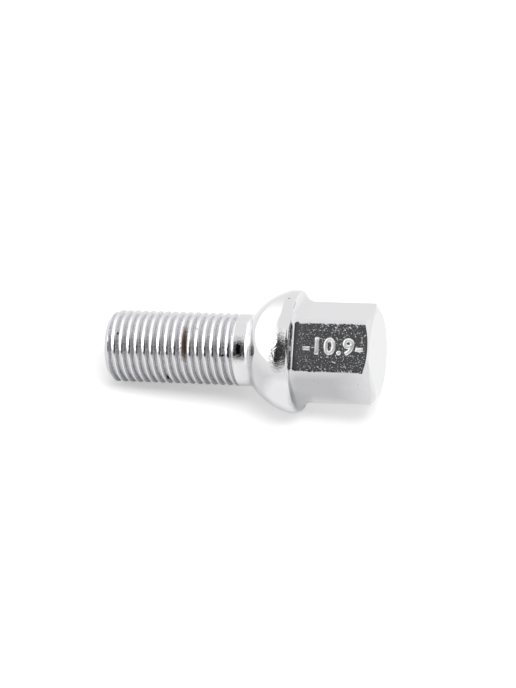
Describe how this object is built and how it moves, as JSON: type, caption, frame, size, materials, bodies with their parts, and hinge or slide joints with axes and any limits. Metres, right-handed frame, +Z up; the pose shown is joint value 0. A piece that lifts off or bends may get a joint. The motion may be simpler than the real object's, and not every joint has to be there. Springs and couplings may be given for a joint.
{
  "type": "wheel bolt",
  "caption": "One-piece chromed wheel bolt: threaded shank, plain neck, ball seat with a round collar, and a hexagon head.",
  "frame": {"origin": "centre of the bounding box's foot, on the surface that the bolt lies on", "axes": "+Z up. The bolt lies along X with its head at +X, leaning up 7.9 degrees towards the head because it rests on the shoulder of its tip and on its collar. -Y is the front that the picture shows."},
  "size_m": [0.0536, 0.0234, 0.0233],
  "materials": {
    "chrome": "bright chrome plating, grainy on the forged flats"
  },
  "bodies": {
    "root": {"wheel_bolt": "chrome"}
  },
  "joints": []
}
